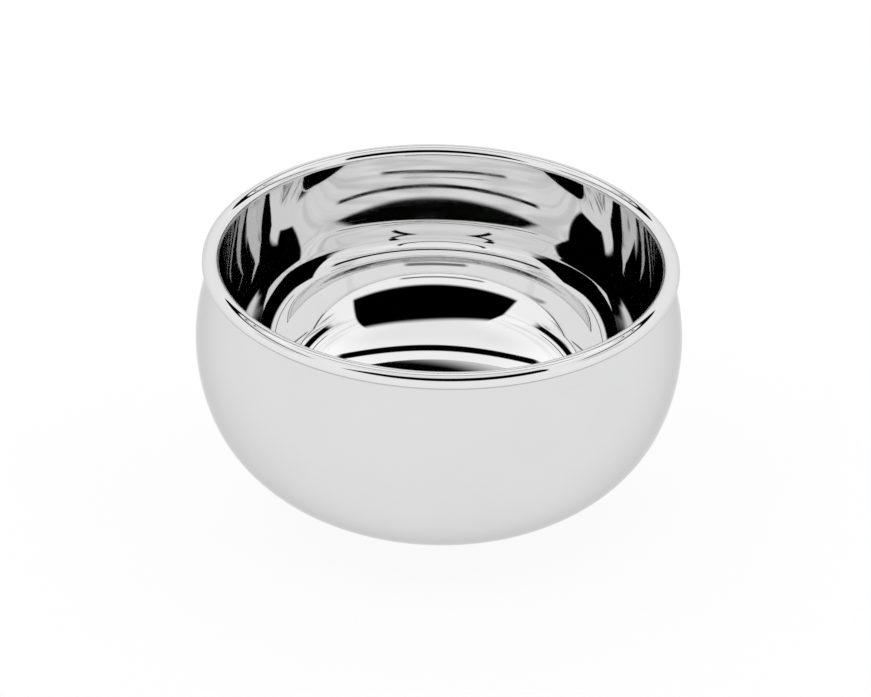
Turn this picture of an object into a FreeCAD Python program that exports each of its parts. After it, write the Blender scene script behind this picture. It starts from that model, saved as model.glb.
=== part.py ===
import FreeCAD, Part
import os
import Sketcher

# A double-walled shaving bowl: an inner bowl whose lip is rolled outward into a round rim, an outer shell
# whose mouth ends inside that roll, and a disc that closes the shell from below. All three are pressed from
# sheet metal and are round about Z. The origin is the centre of the plane that the bowl stands on.
# Every height is above that plane. Lengths are in millimetres.

DIMENSIONS = [
    ("sheet", 0.6, "thickness of the pressed sheet"),
    ("belly_radius", 57.5, "outside radius of the shell at its widest level"),
    ("belly_height", 36.5, "height of that level"),
    ("belly_arc", 46.0, "radius of the section from the mouth down past the belly"),
    ("base_arc", 32.0, "radius of the section where the shell turns under"),
    ("mouth_height", 56.3, "height of the shell's upper edge, inside the roll"),
    ("foot_radius", 23.4, "inner radius of the flat ring that the bowl stands on"),
    ("step_outer", 0.8, "radius of the bend from the foot ring up to the seat"),
    ("step_inner", 0.2, "radius of the bend from that step in to the seat"),
    ("opening_radius", 20.5, "radius of the hole that the base plate closes"),
    ("rim_radius", 53.7, "radius of the circle that the roll's section is centred on"),
    ("rim_height", 57.0, "height of that circle"),
    ("roll", 2.0, "outside radius of the roll's section"),
    ("bowl_radius", 52.3, "inside radius of the inner bowl at its widest level"),
    ("bowl_height", 39.1, "height of that level"),
    ("waist_arc", 45.0, "radius of the section just below that level"),
    ("waist_end", 34.4, "height at which the waist ends"),
    ("shoulder_arc", 29.0, "radius of the section below the waist"),
    ("shoulder_end", 27.5, "height at which the shoulder ends"),
    ("flank_arc", 41.0, "radius of the flatter section below the shoulder"),
    ("flank_end", 17.4, "height at which the flank ends"),
    ("turn_arc", 19.0, "radius of the tightest section, where the flank turns in"),
    ("turn_end", 11.8, "height at which the turn ends"),
    ("basin_arc", 38.0, "radius of the section between the turn and the floor"),
    ("floor_height", 4.8, "height of the inner bowl's floor at its centre"),
    ("plate_radius", 22.3, "radius of the base plate"),
    ("dish_radius", 16.0, "radius at which the plate's flat rim ends"),
    ("dish_bend", 6.0, "radius of the bend from the rim up into the dish"),
    ("dish_height", 1.8, "height of the dish's lower face at the centre"),
]

START, END, CENTRE = 1, 2, 3
ORIGIN = (-1, 1)
H_AXIS, V_AXIS = -1, -2


def make_sheet(document):
    """The spreadsheet that drives every size."""
    table = document.addObject("Spreadsheet::Sheet", "Dimensions")
    for row, (alias, value, meaning) in enumerate(DIMENSIONS, start=1):
        table.set(f"A{row}", alias)
        table.set(f"B{row}", str(value))
        table.set(f"C{row}", meaning)
        table.setAlias(f"B{row}", alias)
    document.recompute()
    return table


class Arc:
    """An arc run from one angle to another, in degrees, anticlockwise when the second is the larger."""

    def __init__(self, centre, radius, first, last):
        self.centre = FreeCAD.Vector(*centre, 0)
        self.radius = radius
        self.anticlockwise = last > first
        self.angles = sorted((first, last))
        self.first, self.last = (START, END) if self.anticlockwise else (END, START)

    def curve(self, depth):
        """The arc moved to its right by depth, the right of the way it is run."""
        radius = self.radius + (depth if self.anticlockwise else -depth)
        circle = Part.Circle(self.centre, FreeCAD.Vector(0, 0, 1), radius)
        begin, finish = (FreeCAD.Units.Quantity(angle, "deg").getValueAs("rad") for angle in self.angles)
        return Part.ArcOfCircle(circle, begin, finish)


class Line:
    """A straight run from one point to another."""

    first, last = START, END

    def __init__(self, begin, finish):
        self.begin = FreeCAD.Vector(*begin, 0)
        self.finish = FreeCAD.Vector(*finish, 0)

    def curve(self, depth):
        """The line moved to its right by depth."""
        along = (self.finish - self.begin).normalize()
        shift = FreeCAD.Vector(along.y, -along.x, 0) * depth
        return Part.LineSegment(self.begin + shift, self.finish + shift)


class SheetSection:
    """The section of a pressed sheet, in the XZ plane of a body of its own.

    The face that shows is a chain of arcs and lines, each tangent to the next, drawn roughly and then
    constrained. The sheet lies to the right of the chain: its back is the same chain one sheet away.
    """

    def __init__(self, document, name, chain):
        self.body = document.addObject("PartDesign::Body", name)
        self.body.Label = name
        self.sketch = self.body.newObject("Sketcher::SketchObject", name + "_section")
        self.sketch.AttachmentSupport = [(origin_plane(self.body, "XZ_Plane"), "")]
        self.sketch.MapMode = "FlatFace"
        self.chain = chain
        drawn_sheet = dict((alias, value) for alias, value, _ in DIMENSIONS)["sheet"]
        self.face = [self.sketch.addGeometry(piece.curve(0), False) for piece in chain]
        back = [self.sketch.addGeometry(piece.curve(drawn_sheet), False) for piece in chain]
        for side in (self.face, back):
            self.join(side)
        for piece, shown, hidden in zip(chain, self.face, back):
            if isinstance(piece, Arc):
                self.constrain("Coincident", shown, CENTRE, hidden, CENTRE)
            else:
                self.constrain("Parallel", shown, hidden)
        edge = self.close(self.face[0], back[0], chain[0].first)
        self.close(self.face[-1], back[-1], chain[-1].last)
        self.measure("Distance", "sheet", "Dimensions.sheet", edge)

    def constrain(self, *terms):
        return self.sketch.addConstraint(Sketcher.Constraint(*terms))

    def join(self, side):
        """Makes each curve of one side end on, and tangent to, the next."""
        for here, (piece, following) in enumerate(zip(self.chain, self.chain[1:])):
            self.constrain("Tangent", side[here], piece.last, side[here + 1], following.first)

    def close(self, shown, hidden, end):
        """Draws the sheet's cut edge from the face to the back, square to both."""
        begin = self.sketch.getPoint(shown, end)
        finish = self.sketch.getPoint(hidden, end)
        edge = self.sketch.addGeometry(Part.LineSegment(begin, finish), False)
        self.constrain("Coincident", edge, END, hidden, end)
        self.constrain("Perpendicular", edge, START, shown, end)
        return edge

    def measure(self, kind, name, expression, *terms):
        """Adds a dimension that takes its value from the spreadsheet."""
        index = self.constrain(kind, *terms, drawn_value(self.sketch, kind, terms))
        self.sketch.renameConstraint(index, name)
        self.sketch.setExpression("Constraints." + name, expression)

    def at(self, name, piece, end, across=None, up=None):
        """Places a point of the face's given piece, across from the axis and up from the base."""
        if across:
            self.measure("DistanceX", name + "_across", across, *ORIGIN, self.face[piece], end)
        if up:
            self.measure("DistanceY", name + "_up", up, *ORIGIN, self.face[piece], end)

    def radius(self, name, piece, expression):
        self.measure("Radius", name, expression, self.face[piece])

    def level(self, kind, piece, end, other, other_end):
        """Makes a line between two points of the face Horizontal or Vertical."""
        self.constrain(kind, self.face[piece], end, self.face[other], other_end)

    def on_axis(self, piece, end):
        self.constrain("PointOnObject", self.face[piece], end, V_AXIS)

    def revolve(self):
        """Turns the section about Z."""
        turned = self.body.newObject("PartDesign::Revolution", self.body.Name + "_turned")
        turned.Profile = self.sketch
        turned.ReferenceAxis = (self.sketch, ["V_Axis"])
        turned.Angle = 360
        self.sketch.Visibility = False
        self.body.Tip = turned
        return self.body


def origin_plane(body, role):
    return next(feature for feature in body.Origin.OriginFeatures if feature.Role == role)


def drawn_value(sketch, kind, terms):
    """What a dimension measures on the sketch as drawn."""
    if kind == "Radius":
        return sketch.Geometry[terms[0]].Radius
    if kind == "Distance":
        return sketch.Geometry[terms[0]].length()
    offset = sketch.getPoint(*terms[2:]) - sketch.getPoint(*terms[:2])
    return offset.x if kind == "DistanceX" else offset.y


def make_inner_bowl(document):
    """Floor, sides and rolled lip. The face runs from the floor's centre out, up and over the roll."""
    floor, basin, turn, flank, shoulder, waist, wall, roll = range(8)
    section = SheetSection(document, "inner_bowl", [
        Arc((0, 128.4), 123.6, -90, -75.9),
        Arc((20.8, 45.4), 38, -75.9, -62.1),
        Arc((29.7, 28.6), 19, -62.1, -36.1),
        Arc((11.9, 41.5), 41, -36.1, -20),
        Arc((23.2, 37.4), 29, -20, -6),
        Arc((7.3, 39.1), 45, -6, 0),
        Arc((-213, 39.1), 265.3, 0, 3.8),
        Arc((53.7, 57), 2, 183.8, -90),
    ])
    section.on_axis(floor, CENTRE)
    section.on_axis(floor, START)
    section.at("floor", floor, START, up="Dimensions.floor_height")
    for piece, name in ((basin, "basin"), (turn, "turn"), (flank, "flank"), (shoulder, "shoulder")):
        section.radius(name + "_radius", piece, f"Dimensions.{name}_arc")
    for piece, name in ((turn, "turn"), (flank, "flank"), (shoulder, "shoulder"), (waist, "waist")):
        section.at(name + "_end", piece, START, up=f"Dimensions.{name}_end")
    section.radius("waist_radius", waist, "Dimensions.waist_arc")
    section.at("waist", waist, CENTRE, "Dimensions.bowl_radius - Dimensions.waist_arc", "Dimensions.bowl_height")
    section.level("Horizontal", waist, CENTRE, wall, CENTRE)
    section.at("roll", roll, CENTRE, "Dimensions.rim_radius", "Dimensions.rim_height")
    section.radius("roll_radius", roll, "Dimensions.roll")
    section.level("Vertical", roll, CENTRE, roll, START)
    return section.revolve()


def make_outer_shell(document):
    """Belly, base, foot ring and the stepped seat for the plate. The face runs from the mouth down and in."""
    belly, base, foot, step_up, step_in, seat = range(6)
    section = SheetSection(document, "outer_shell", [
        Arc((11.5, 36.5), 46, 25, -19),
        Arc((24.7, 32), 32, -19, -90),
        Line((24.7, 0), (23.4, 0)),
        Arc((23.4, 0.8), 0.8, -90, -180),
        Arc((22.4, 0.8), 0.2, 0, 90),
        Line((22.4, 1), (20.5, 1)),
    ])
    section.at("belly", belly, CENTRE, "Dimensions.belly_radius - Dimensions.belly_arc", "Dimensions.belly_height")
    section.radius("belly_radius", belly, "Dimensions.belly_arc")
    section.at("mouth", belly, END, up="Dimensions.mouth_height")
    section.radius("base_radius", base, "Dimensions.base_arc")
    section.constrain("Horizontal", section.face[foot])
    section.constrain("PointOnObject", section.face[foot], END, H_AXIS)
    section.at("foot", foot, END, across="Dimensions.foot_radius")
    section.radius("step_outer", step_up, "Dimensions.step_outer")
    section.radius("step_inner", step_in, "Dimensions.step_inner")
    section.level("Horizontal", step_up, CENTRE, step_in, CENTRE)
    section.constrain("Horizontal", section.face[seat])
    section.at("opening", seat, END, across="Dimensions.opening_radius")
    return section.revolve()


def make_base_plate(document):
    """Flat rim and shallow dish, under the seat. The lower face runs from the edge in to the centre."""
    rim, bend, dish = range(3)
    section = SheetSection(document, "base_plate", [
        Line((22.3, 0.4), (16, 0.4)),
        Arc((16, 6.4), 6, -90, -100),
        Arc((0, -83), 85, 80, 90),
    ])
    section.constrain("Horizontal", section.face[rim])
    seat_height = "Dimensions.step_outer + Dimensions.step_inner"
    section.at("edge", rim, START, "Dimensions.plate_radius", seat_height + " - Dimensions.sheet")
    section.radius("bend_radius", bend, "Dimensions.dish_bend")
    section.at("bend", bend, CENTRE, across="Dimensions.dish_radius")
    section.on_axis(dish, CENTRE)
    section.on_axis(dish, END)
    section.at("dish", dish, END, up="Dimensions.dish_height")
    return section.revolve()


def check(document, bodies):
    """Stops if any object failed to rebuild or any piece isn't one valid solid."""
    for item in document.Objects:
        if "Invalid" in item.State or "Error" in item.State:
            raise RuntimeError(f"{item.Label} failed: {item.State}")
    for body in bodies:
        shape = body.Shape
        if shape.isNull() or not shape.isValid() or len(shape.Solids) != 1:
            raise RuntimeError(f"{body.Label} isn't one valid solid")
        print(f"{body.Label}: {shape.Volume:.0f} mm3, {shape.BoundBox}")


def main():
    document = FreeCAD.newDocument("shaving_bowl")
    make_sheet(document)
    bodies = [make_inner_bowl(document), make_outer_shell(document), make_base_plate(document)]
    document.recompute()
    check(document, bodies)
    os.makedirs("parts", exist_ok=True)
    for body in bodies:
        body.Shape.exportStep(f"parts/{body.Label}.step")


main()
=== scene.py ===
from math import asin, atan2, cos, pi, radians, sin, sqrt

import bpy
from mathutils import Matrix, Vector


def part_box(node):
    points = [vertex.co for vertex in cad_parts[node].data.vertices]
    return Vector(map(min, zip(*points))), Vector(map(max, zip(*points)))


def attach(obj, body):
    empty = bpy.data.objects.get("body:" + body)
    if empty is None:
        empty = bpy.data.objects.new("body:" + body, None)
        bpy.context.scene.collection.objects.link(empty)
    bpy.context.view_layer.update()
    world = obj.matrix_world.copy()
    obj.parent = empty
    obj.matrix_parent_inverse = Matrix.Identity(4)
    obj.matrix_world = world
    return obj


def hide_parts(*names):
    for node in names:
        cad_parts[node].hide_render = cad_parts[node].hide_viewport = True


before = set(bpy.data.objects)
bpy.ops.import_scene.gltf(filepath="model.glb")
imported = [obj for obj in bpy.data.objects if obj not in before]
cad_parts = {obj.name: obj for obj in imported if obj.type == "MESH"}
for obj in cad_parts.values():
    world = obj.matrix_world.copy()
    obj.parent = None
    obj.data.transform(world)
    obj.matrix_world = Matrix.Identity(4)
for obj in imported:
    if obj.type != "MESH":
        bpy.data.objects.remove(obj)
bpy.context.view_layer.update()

# A double-walled chrome shaving bowl. Every piece is sheet metal turned about Z, so each is a
# section lathed round the axis. Lengths are in metres, and heights are above the plane that the
# bowl stands on.

SHEET = 0.0006

BELLY_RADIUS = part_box("outer_shell")[1].x
BELLY_HEIGHT = 0.0365
BELLY_ARC = 0.046
BASE_ARC = 0.032
MOUTH_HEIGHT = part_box("outer_shell")[1].z
FOOT_RADIUS = 0.0234
STEP_OUTER = 0.0008
STEP_INNER = 0.0002
OPENING_RADIUS = 0.0205

ROLL = 0.002
RIM_RADIUS = 0.0537
RIM_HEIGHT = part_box("inner_bowl")[1].z - ROLL
BOWL_RADIUS = 0.0523
BOWL_HEIGHT = 0.0391
# Below its widest level the inside is a chain of arcs: radius, and the height at which each ends.
# BASIN_ARC is the last one, and it meets the floor, an arc centred on the axis.
BOWL_ARCS = [(0.045, 0.0344), (0.029, 0.0275), (0.041, 0.0174), (0.019, 0.0118)]
BASIN_ARC = 0.038
FLOOR_HEIGHT = 0.0048

PLATE_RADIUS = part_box("base_plate")[1].x
DISH_RADIUS = 0.016
DISH_BEND = 0.006
DISH_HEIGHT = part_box("base_plate")[1].z - SHEET

SEGMENTS = 512
ARC_STEP = radians(1.0)
SHARP_ANGLE = radians(35)
# Points nearer than this are one point, and a point nearer the axis than this is on it.
TOUCHING = 1e-7
# At a sharp corner an offset line moves by at most 1 / MITRE_LIMIT times its distance.
MITRE_LIMIT = 0.5

# The chrome. Scales are per metre, and from and to are where a noise starts and stops counting.
WAVES = {"scale": 130, "detail": 1, "drift": 0.1, "rise": 0.02, "depth": 0.00001}
MARKS = {"scale": 2600, "detail": 4, "drift": 0.02, "from": 0.52, "to": 0.75, "roughness": 0.035}
CLOUDS = {"scale": 45, "detail": 5, "from": 0.45, "to": 0.75, "roughness": 0.03}
# Handling wear is cloudy patches of a darker tone. The same darker tone also carries the painted
# shade on the roll and near the foot.
WEAR_AND_SHADE_TONE = {"from": 0.4, "to": 0.8, "share": 0.12, "tone": 0.86}
# Near the foot the chrome is rougher, and its colour is darkened towards the floor as painted
# shade.
FOOT_DULL_AND_SHADE = {"height": 0.006, "roughness": 0.12}
# How far the colour over the roll is darkened, as painted shade.
LIP_PAINTED_SHADE = 0.5
EDGE_TINT = 0.75

# The studio's shapes, in degrees. A strength of 1 is black, and one below 0 brightens.
WINDOW = {"left": -46, "left_lean": 9, "right": 52, "right_lean": 12, "bottom": 25.8, "top": 61,
          "soft": 2, "top_soft": 8, "top_tilt": 3.5, "top_bend": -3}
SILL = {"left": -24, "right": 22, "low": 20.2, "high": 21.2, "end_soft": 4, "soft": 0.4,
        "strength": 0.8}
RAIL = {"reach": 26, "low": 97.9, "high": 103.4, "bend": 14, "end_soft": 3, "soft": 1,
        "strength": 1}
# How far along a lean, tilt or bend is reached: in the shapes above, and in the strips.
BEND_OVER = 30
STRIP_BEND_OVER = 60
STRIP_END_SOFT = 8
STRIPS = [
    {"middle": -5, "reach": 110, "low": 37, "high": 42.2,
     "bend": -1.5, "soft": 0.9, "strength": 1},
    {"middle": -5, "reach": 100, "low": 43.8, "high": 44.5,
     "bend": -0.9, "soft": 0.3, "strength": 1},
    {"middle": 0, "reach": 40, "low": 45.6, "high": 45.8,
     "bend": -0.3, "soft": 0.2, "strength": 0.6},
    {"middle": 0, "reach": 62, "low": 46.4, "high": 47,
     "bend": -0.3, "soft": 0.3, "strength": 1},
    {"middle": -5, "reach": 30, "low": 7.4, "high": 8.2,
     "bend": 0, "soft": 0.4, "strength": 0.8},
]
GLOW = {"low": 36, "low_soft": 6, "high": 62, "high_soft": 20, "reach": 150, "end_soft": 20,
        "strength": -0.14}
CEILING = {"low": 60, "low_soft": 8, "high": 95, "high_soft": 20, "strength": 0.08}
# Cloth is dark where a noise, stretched to width by height, is over share, with a soft edge.
FOLDS = {"low": 36, "high": 52, "from": -6, "to": 150, "width": 70, "height": 1.4,
         "share": 0.5, "edge": 0.25, "strength": 0.2}
CURTAINS = {"low": 12, "high": 37, "from": 86, "to": 112, "width": 40, "height": 3,
            "share": 0.58, "edge": 0.08, "strength": 0.6}
CLOTH_SOFT = {"end": 8, "low": 2, "high": 4}

# The paper: half its width, how far it lies under the foot, its tone and its own glow.
PAPER = {"reach": 4, "drop": 0.00005, "tone": 0.2, "glow": 0.85}

# The camera, in metres, and degrees for its roll. It was fitted to the photograph's outline.
CAMERA_PLACE = (0, -0.6042, 0.40003)
CAMERA_TARGET = (-0.00071, -0.0061, 0.03625)
CAMERA_LENS = 0.12303
CAMERA_ROLL = 1.63
SENSOR_MILLIMETRES = 36
NEAREST_SEEN = 0.05

MIRROR_BOUNCES = 16


# --- sections -------------------------------------------------------------------------------------


def arc(centre, radius, first, last):
    """Points of an arc in the section plane, run from one angle to another, in radians."""
    steps = max(2, round(abs(last - first) / ARC_STEP))
    angles = [first + (last - first) * step / steps for step in range(steps + 1)]
    return [Vector((centre[0] + radius * cos(a), centre[1] + radius * sin(a))) for a in angles]


def join(*runs):
    """One polyline from several that meet end to end."""
    points = list(runs[0])
    for run in runs[1:]:
        points += run[1:] if (run[0] - points[-1]).length < TOUCHING else run
    return points


def offset(points, distance):
    """The same polyline moved to its right."""
    moved = []
    for here, point in enumerate(points):
        before = points[max(here - 1, 0)]
        after = points[min(here + 1, len(points) - 1)]
        first = (point - before).normalized() if here else (after - point).normalized()
        second = (after - point).normalized() if here < len(points) - 1 else first
        along = (first + second).normalized()
        stretch = 1 / max(MITRE_LIMIT, sqrt((1 + first.dot(second)) / 2))
        moved.append(point + Vector((along.y, -along.x)) * distance * stretch)
    return moved


def wall_arc(turn_top):
    """Centre and radius of the arc that leaves turn_top vertically and meets the roll's circle."""
    across = turn_top.x + ROLL - RIM_RADIUS
    up = RIM_HEIGHT - turn_top.y
    reach = (up * up + across * across) / (2 * across)
    return Vector((turn_top.x - (reach - ROLL), turn_top.y)), reach - ROLL, asin(up / reach)


def bowl_face():
    """The inside of the inner bowl, from the centre of its floor up to the roll and over it."""
    run, slope = [Vector((BOWL_RADIUS, BOWL_HEIGHT))], 0
    for radius, end_height in BOWL_ARCS:
        centre = run[-1] - Vector((cos(slope), -sin(slope))) * radius
        until = asin((centre.y - end_height) / radius)
        run += arc(centre, radius, -slope, -until)[1:]
        slope = until
    centre = run[-1] - Vector((cos(slope), -sin(slope))) * BASIN_ARC
    rise = centre.y - FLOOR_HEIGHT
    floor = (centre.x ** 2 + rise ** 2 - BASIN_ARC ** 2) / (2 * (rise - BASIN_ARC))
    floor_centre = Vector((0, FLOOR_HEIGHT + floor))
    until = atan2(floor_centre.y - centre.y, centre.x)
    run += arc(centre, BASIN_ARC, -slope, -until)[1:]
    run += arc(floor_centre, floor, -until, -pi / 2)[1:]
    centre, radius, lean = wall_arc(run[0])
    return join(
        run[::-1],
        arc(centre, radius, 0, lean),
        arc(Vector((RIM_RADIUS, RIM_HEIGHT)), ROLL, pi + lean, -pi / 2),
    )


def shell_face():
    """The outside of the shell, from its mouth down to the opening that the plate closes."""
    belly_centre = Vector((BELLY_RADIUS - BELLY_ARC, BELLY_HEIGHT))
    mouth = asin((MOUTH_HEIGHT - BELLY_HEIGHT) / BELLY_ARC)
    drop = asin((BELLY_HEIGHT - BASE_ARC) / (BELLY_ARC - BASE_ARC))
    base_centre = belly_centre + Vector((cos(drop), -sin(drop))) * (BELLY_ARC - BASE_ARC)
    seat = STEP_OUTER + STEP_INNER
    return join(
        arc(belly_centre, BELLY_ARC, mouth, -drop),
        arc(base_centre, BASE_ARC, -drop, -pi / 2),
        arc((FOOT_RADIUS, STEP_OUTER), STEP_OUTER, -pi / 2, -pi),
        arc((FOOT_RADIUS - seat, STEP_OUTER), STEP_INNER, 0, pi / 2),
        [Vector((OPENING_RADIUS, seat))],
    )


def plate_face():
    """The underside of the base plate, from its edge in to the centre of its dish."""
    low = STEP_OUTER + STEP_INNER - SHEET
    bend_centre = Vector((DISH_RADIUS, low + DISH_BEND))
    rise = bend_centre.y - DISH_HEIGHT
    dish = (bend_centre.x ** 2 + rise ** 2 - DISH_BEND ** 2) / (2 * (DISH_BEND - rise))
    dish_centre = Vector((0, DISH_HEIGHT - dish))
    meet = atan2(bend_centre.y - dish_centre.y, bend_centre.x)
    return join(
        [Vector((PLATE_RADIUS, low)), Vector((DISH_RADIUS, low))],
        arc(bend_centre, DISH_BEND, -pi / 2, meet - pi),
        arc(dish_centre, dish, meet, pi / 2),
    )


# --- meshes ---------------------------------------------------------------------------------------


def lathe(name, outline):
    """Turns a closed outline of (radius, height) points about Z.

    A point on the axis becomes one vertex.
    """
    vertices, faces, rings = [], [], []
    for point in outline:
        if point.x < TOUCHING:
            rings.append([len(vertices)] * SEGMENTS)
            vertices.append((0, 0, point.y))
            continue
        rings.append(list(range(len(vertices), len(vertices) + SEGMENTS)))
        for segment in range(SEGMENTS):
            turn = 2 * pi * segment / SEGMENTS
            vertices.append((point.x * cos(turn), point.x * sin(turn), point.y))
    for lower, upper in zip(rings, rings[1:] + rings[:1]):
        if lower[0] == lower[1] and upper[0] == upper[1]:
            continue
        for segment in range(SEGMENTS):
            following = (segment + 1) % SEGMENTS
            corners = [upper[segment], upper[following], lower[following], lower[segment]]
            faces.append(list(dict.fromkeys(corners)))
    mesh = bpy.data.meshes.new(name)
    mesh.from_pydata(vertices, [], faces)
    mesh.validate()
    mesh.shade_smooth()
    mesh.set_sharp_from_angle(angle=SHARP_ANGLE)
    piece = bpy.data.objects.new(name, mesh)
    bpy.context.scene.collection.objects.link(piece)
    return piece


def sheet_piece(name, face, node, material):
    """A pressed sheet: its face, and its back one sheet away, turned about the axis."""
    back = offset(face, SHEET)
    for point, behind in zip(face, back):
        if point.x < TOUCHING:
            point.x = behind.x = 0
    piece = lathe(name, face + back[::-1])
    piece.data.materials.append(material)
    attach(piece, "root")
    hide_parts(node)
    return piece


# --- nodes ----------------------------------------------------------------------------------------


def math_node(tree, operation, first, second=None):
    """A Math node's output. Each input is a number or another node's output."""
    node = tree.nodes.new("ShaderNodeMath")
    node.operation = operation
    for socket, value in zip(node.inputs, (first, second)):
        if isinstance(value, (int, float)):
            socket.default_value = value
        elif value is not None:
            tree.links.new(value, socket)
    return node.outputs[0]


def ramp(tree, value, low, high):
    """0 below low, 1 above high and smooth in between."""
    node = tree.nodes.new("ShaderNodeMapRange")
    node.interpolation_type = "SMOOTHSTEP"
    tree.links.new(value, node.inputs["Value"])
    node.inputs["From Min"].default_value = low
    node.inputs["From Max"].default_value = high
    return node.outputs["Result"]


def noise(tree, vector, scale, detail):
    """A noise of about 0 to 1, with features about 1 / scale across."""
    node = tree.nodes.new("ShaderNodeTexNoise")
    tree.links.new(vector, node.inputs["Vector"])
    node.inputs["Scale"].default_value = scale
    node.inputs["Detail"].default_value = detail
    return node.outputs[0]


def smooth_step(tree, value, middle, width):
    """0 well below middle, 1 well above it, over a soft edge of the given width."""
    return ramp(tree, value, middle - width / 2, middle + width / 2)


def band(tree, value, low, high, low_soft, high_soft):
    """1 between two soft edges, 0 outside them."""
    return math_node(tree, "SUBTRACT", smooth_step(tree, value, low, low_soft),
                     smooth_step(tree, value, high, high_soft))


def bent(tree, value, across, amount, reach):
    """value less a parabola that is amount high where across is reach."""
    share = math_node(tree, "DIVIDE", across, reach)
    rise = math_node(tree, "MULTIPLY", math_node(tree, "MULTIPLY", share, share), amount)
    return math_node(tree, "SUBTRACT", value, rise)


def darken(tree, light, strength, *shape):
    """light with a feature taken out of it, or added where strength is negative.

    The shape's terms are 0 to 1 and are multiplied.
    """
    for term in shape[1:]:
        shape = (math_node(tree, "MULTIPLY", shape[0], term), *shape[1:])
    kept = math_node(tree, "SUBTRACT", 1, math_node(tree, "MULTIPLY", shape[0], strength))
    return math_node(tree, "MULTIPLY", light, kept)


# --- materials ------------------------------------------------------------------------------------


def chrome(name, tint, roughness, wave_from):
    """Polished plating over spun sheet.

    Ring waves left by the spinning, which grow from the height wave_from up, fine polishing marks
    that run round the piece, cloudy patches of handling, and a duller foot. The colour is also
    darkened as painted shade over the top of the roll and near the floor.
    """
    material = bpy.data.materials.new(name)
    material.use_nodes = True
    tree = material.node_tree
    shader = tree.nodes["Principled BSDF"]
    place = tree.nodes.new("ShaderNodeTexCoord").outputs["Object"]
    split = tree.nodes.new("ShaderNodeSeparateXYZ")
    tree.links.new(place, split.inputs[0])
    x, y, z = split.outputs

    def calc(operation, first, second=None):
        return math_node(tree, operation, first, second)

    radius = calc("SQRT", calc("ADD", calc("MULTIPLY", x, x), calc("MULTIPLY", y, y)))

    def rings(drift):
        """Coordinates that are nearly the same all round, and drift slowly from side to side."""
        node = tree.nodes.new("ShaderNodeCombineXYZ")
        tree.links.new(radius, node.inputs[0])
        tree.links.new(z, node.inputs[1])
        tree.links.new(calc("MULTIPLY", x, drift), node.inputs[2])
        return node.outputs[0]

    waves = noise(tree, rings(WAVES["drift"]), WAVES["scale"], WAVES["detail"])
    waves = calc("MULTIPLY", waves, ramp(tree, z, wave_from, wave_from + WAVES["rise"]))
    marks = noise(tree, rings(MARKS["drift"]), MARKS["scale"], MARKS["detail"])
    clouds = noise(tree, place, CLOUDS["scale"], CLOUDS["detail"])
    # 1 at the floor and 0 from the given height up. It makes the chrome rougher and darkens its
    # colour as painted shade near the floor, the base plate included.
    dull_shaded_foot = calc("SUBTRACT", 1, ramp(tree, z, 0, FOOT_DULL_AND_SHADE["height"]))

    scratched = calc("MULTIPLY", ramp(tree, marks, MARKS["from"], MARKS["to"]), MARKS["roughness"])
    hazy = calc("MULTIPLY", ramp(tree, clouds, CLOUDS["from"], CLOUDS["to"]), CLOUDS["roughness"])
    dull = calc("ADD", scratched, hazy)
    dull = calc("ADD", dull, calc("MULTIPLY", dull_shaded_foot, FOOT_DULL_AND_SHADE["roughness"]))
    tree.links.new(calc("ADD", dull, roughness), shader.inputs["Roughness"])

    colour = tree.nodes.new("ShaderNodeMix")
    colour.data_type = "RGBA"
    colour.inputs["A"].default_value = (*tint, 1)
    colour.inputs["B"].default_value = (*[WEAR_AND_SHADE_TONE["tone"] * part for part in tint], 1)
    wear_and_painted_shade = calc("MULTIPLY", ramp(tree, clouds, WEAR_AND_SHADE_TONE["from"], WEAR_AND_SHADE_TONE["to"]), WEAR_AND_SHADE_TONE["share"])
    # Painted shade: the colour is darkened over most of the roll, fully from a quarter of the way
    # up it.
    lip_painted_shade = ramp(tree, z, RIM_HEIGHT - ROLL, RIM_HEIGHT - ROLL / 2)
    wear_and_painted_shade = calc("MAXIMUM", wear_and_painted_shade, calc("MULTIPLY", lip_painted_shade, LIP_PAINTED_SHADE))
    # The colour moves to the darker tone where there is handling wear, and as painted shade over
    # the roll and near the floor.
    tree.links.new(calc("MAXIMUM", wear_and_painted_shade, dull_shaded_foot), colour.inputs["Factor"])
    tree.links.new(colour.outputs["Result"], shader.inputs["Base Color"])

    bump = tree.nodes.new("ShaderNodeBump")
    bump.inputs["Distance"].default_value = WAVES["depth"]
    tree.links.new(waves, bump.inputs["Height"])
    tree.links.new(bump.outputs[0], shader.inputs["Normal"])
    shader.inputs["Metallic"].default_value = 1
    shader.inputs["Specular Tint"].default_value = (EDGE_TINT, EDGE_TINT, EDGE_TINT, 1)
    return material


# --- stage ----------------------------------------------------------------------------------------


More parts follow.
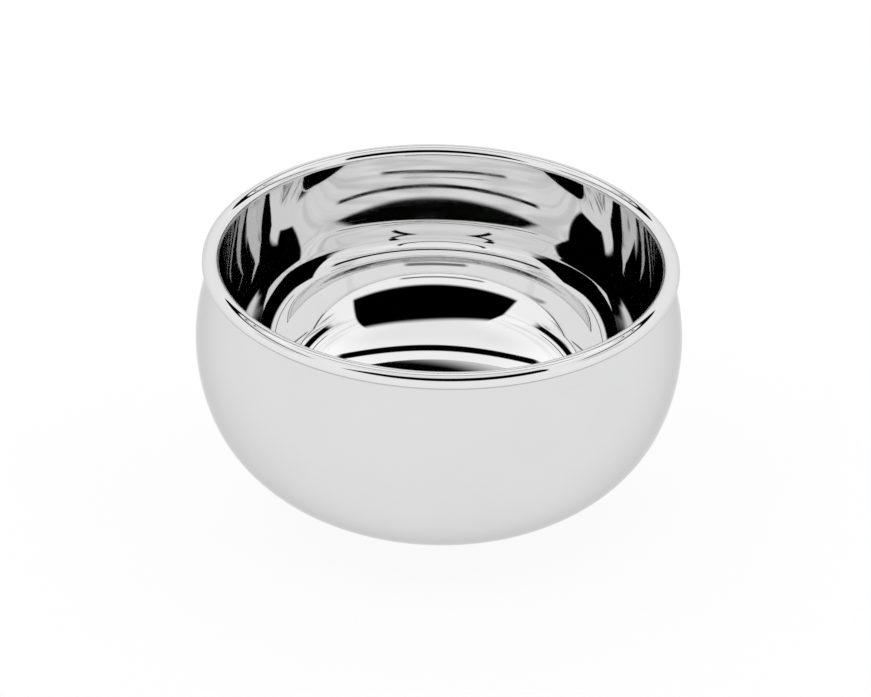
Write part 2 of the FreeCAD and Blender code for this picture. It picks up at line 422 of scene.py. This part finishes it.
def make_world():
    """A white tent with a window toward the camera, a rail overhead and strips and cloth behind.

    Directions are in degrees: azimuth from the camera's side and from the far side, both growing
    to the camera's right, elevation, sideways, which is the angle to the camera's right of the
    middle plane, and pitch, which climbs from the camera's side over the top to the far side.
    The camera itself sees plain white all round.
    """
    world = bpy.data.worlds.new("tent")
    bpy.context.scene.world = world
    world.use_nodes = True
    tree = world.node_tree
    split = tree.nodes.new("ShaderNodeSeparateXYZ")
    tree.links.new(tree.nodes.new("ShaderNodeTexCoord").outputs["Generated"], split.inputs[0])
    x, y, z = split.outputs

    def calc(operation, first, second=None):
        return math_node(tree, operation, first, second)

    def degrees_of(angle):
        return calc("MULTIPLY", angle, 180 / pi)

    def above(value, edge, soft):
        return smooth_step(tree, value, edge, soft)

    def below(value, edge, soft):
        return calc("SUBTRACT", 1, above(value, edge, soft))

    toward = calc("MULTIPLY", y, -1)
    azimuth = degrees_of(calc("ARCTAN2", x, toward))
    far_azimuth = degrees_of(calc("ARCTAN2", x, y))
    elevation = degrees_of(calc("ARCSINE", z))
    pitch = degrees_of(calc("ARCTAN2", z, toward))
    sideways = degrees_of(calc("ARCSINE", x))

    # White, which each shape then darkens or brightens.
    light = calc("ADD", 1, 0)
    lean = calc("MULTIPLY", calc("SUBTRACT", elevation, WINDOW["bottom"]), 1 / BEND_OVER)
    left = calc("SUBTRACT", azimuth, calc("MULTIPLY", lean, WINDOW["left_lean"]))
    right = calc("SUBTRACT", azimuth, calc("MULTIPLY", lean, WINDOW["right_lean"]))
    level = bent(tree, elevation, azimuth, WINDOW["top_bend"], BEND_OVER)
    level = calc("SUBTRACT", level, calc("MULTIPLY", azimuth, WINDOW["top_tilt"] / BEND_OVER))
    light = darken(
        tree, light, 1,
        above(left, WINDOW["left"], WINDOW["soft"]),
        below(right, WINDOW["right"], WINDOW["soft"]),
        above(elevation, WINDOW["bottom"], WINDOW["soft"]),
        below(level, WINDOW["top"], WINDOW["top_soft"]),
    )
    level = bent(tree, pitch, sideways, RAIL["bend"], BEND_OVER)
    light = darken(
        tree, light, RAIL["strength"],
        band(tree, sideways, -RAIL["reach"], RAIL["reach"], RAIL["end_soft"], RAIL["end_soft"]),
        band(tree, level, RAIL["low"], RAIL["high"], RAIL["soft"], RAIL["soft"]),
    )
    light = darken(
        tree, light, SILL["strength"],
        band(tree, azimuth, SILL["left"], SILL["right"], SILL["end_soft"], SILL["end_soft"]),
        band(tree, elevation, SILL["low"], SILL["high"], SILL["soft"], SILL["soft"]),
    )
    for strip in STRIPS:
        across = calc("SUBTRACT", far_azimuth, strip["middle"])
        level = bent(tree, elevation, across, strip["bend"], STRIP_BEND_OVER)
        light = darken(
            tree, light, strip["strength"],
            band(tree, across, -strip["reach"], strip["reach"], STRIP_END_SOFT, STRIP_END_SOFT),
            band(tree, level, strip["low"], strip["high"], strip["soft"], strip["soft"]),
        )
    around = calc("ABSOLUTE", far_azimuth)
    light = darken(
        tree, light, GLOW["strength"],
        below(around, GLOW["reach"], GLOW["end_soft"]),
        band(tree, elevation, GLOW["low"], GLOW["high"], GLOW["low_soft"], GLOW["high_soft"]),
    )
    light = darken(
        tree, light, CEILING["strength"],
        band(tree, pitch, CEILING["low"], CEILING["high"], CEILING["low_soft"],
             CEILING["high_soft"]),
    )
    for cloth in (FOLDS, CURTAINS):
        weave = tree.nodes.new("ShaderNodeCombineXYZ")
        tree.links.new(calc("DIVIDE", far_azimuth, cloth["width"]), weave.inputs[0])
        tree.links.new(calc("DIVIDE", elevation, cloth["height"]), weave.inputs[1])
        light = darken(
            tree, light, cloth["strength"],
            above(noise(tree, weave.outputs[0], 1, 1), cloth["share"], cloth["edge"]),
            band(tree, around, cloth["from"], cloth["to"], CLOTH_SOFT["end"], CLOTH_SOFT["end"]),
            band(tree, elevation, cloth["low"], cloth["high"], CLOTH_SOFT["low"],
                 CLOTH_SOFT["high"]),
        )
    seen = tree.nodes.new("ShaderNodeLightPath").outputs["Is Camera Ray"]
    background = tree.nodes["Background"]
    tree.links.new(calc("MAXIMUM", light, seen), background.inputs["Color"])
    background.inputs["Strength"].default_value = 1.0


def make_floor():
    """Pale paper, a hair under the foot ring, and clear from below so that the underside shows."""
    mesh = bpy.data.meshes.new("floor")
    reach = PAPER["reach"]
    sides = [(-reach, -reach), (reach, -reach), (reach, reach), (-reach, reach)]
    corners = [(x, y, -PAPER["drop"]) for x, y in sides]
    mesh.from_pydata(corners, [], [(0, 1, 2, 3)])
    floor = bpy.data.objects.new("floor", mesh)
    bpy.context.scene.collection.objects.link(floor)
    material = bpy.data.materials.new("paper")
    material.use_nodes = True
    tree = material.node_tree
    shader = tree.nodes["Principled BSDF"]
    shader.inputs["Base Color"].default_value = (*[PAPER["tone"]] * 3, 1)
    shader.inputs["Roughness"].default_value = 1
    shader.inputs["Specular IOR Level"].default_value = 0
    shader.inputs["Emission Color"].default_value = (1, 1, 1, 1)
    shader.inputs["Emission Strength"].default_value = PAPER["glow"]
    one_sided = tree.nodes.new("ShaderNodeMixShader")
    from_below = tree.nodes.new("ShaderNodeNewGeometry").outputs["Backfacing"]
    tree.links.new(from_below, one_sided.inputs[0])
    tree.links.new(shader.outputs[0], one_sided.inputs[1])
    clear = tree.nodes.new("ShaderNodeBsdfTransparent").outputs[0]
    tree.links.new(clear, one_sided.inputs[2])
    tree.links.new(one_sided.outputs[0], tree.nodes["Material Output"].inputs["Surface"])
    mesh.materials.append(material)


def make_camera():
    """A long lens from in front and above, aimed near the bowl's middle."""
    place, target = Vector(CAMERA_PLACE), Vector(CAMERA_TARGET)
    camera = bpy.data.objects.new("camera", bpy.data.cameras.new("camera"))
    camera.data.sensor_width = SENSOR_MILLIMETRES
    camera.data.lens = CAMERA_LENS * 1000
    camera.data.clip_start = NEAREST_SEEN
    facing = (target - place).to_track_quat("-Z", "Y").to_matrix()
    turned = facing @ Matrix.Rotation(radians(CAMERA_ROLL), 3, "Z")
    camera.matrix_world = Matrix.Translation(place) @ turned.to_4x4()
    bpy.context.scene.collection.objects.link(camera)
    bpy.context.scene.camera = camera


inner = chrome("inner_chrome", tint=(0.85, 0.85, 0.85), roughness=0.01, wave_from=0.012)
outer = chrome("outer_chrome", tint=(0.73, 0.73, 0.735), roughness=0.03, wave_from=0)
base = chrome("base_chrome", tint=(0.68, 0.68, 0.69), roughness=0.12, wave_from=0)
sheet_piece("bowl_and_lip", bowl_face(), "inner_bowl", inner)
sheet_piece("shell", shell_face(), "outer_shell", outer)
sheet_piece("plate", plate_face(), "base_plate", base)
make_floor()
make_world()
make_camera()

scene = bpy.context.scene
scene.view_settings.view_transform = "Standard"
scene.cycles.max_bounces = MIRROR_BOUNCES
scene.cycles.glossy_bounces = MIRROR_BOUNCES
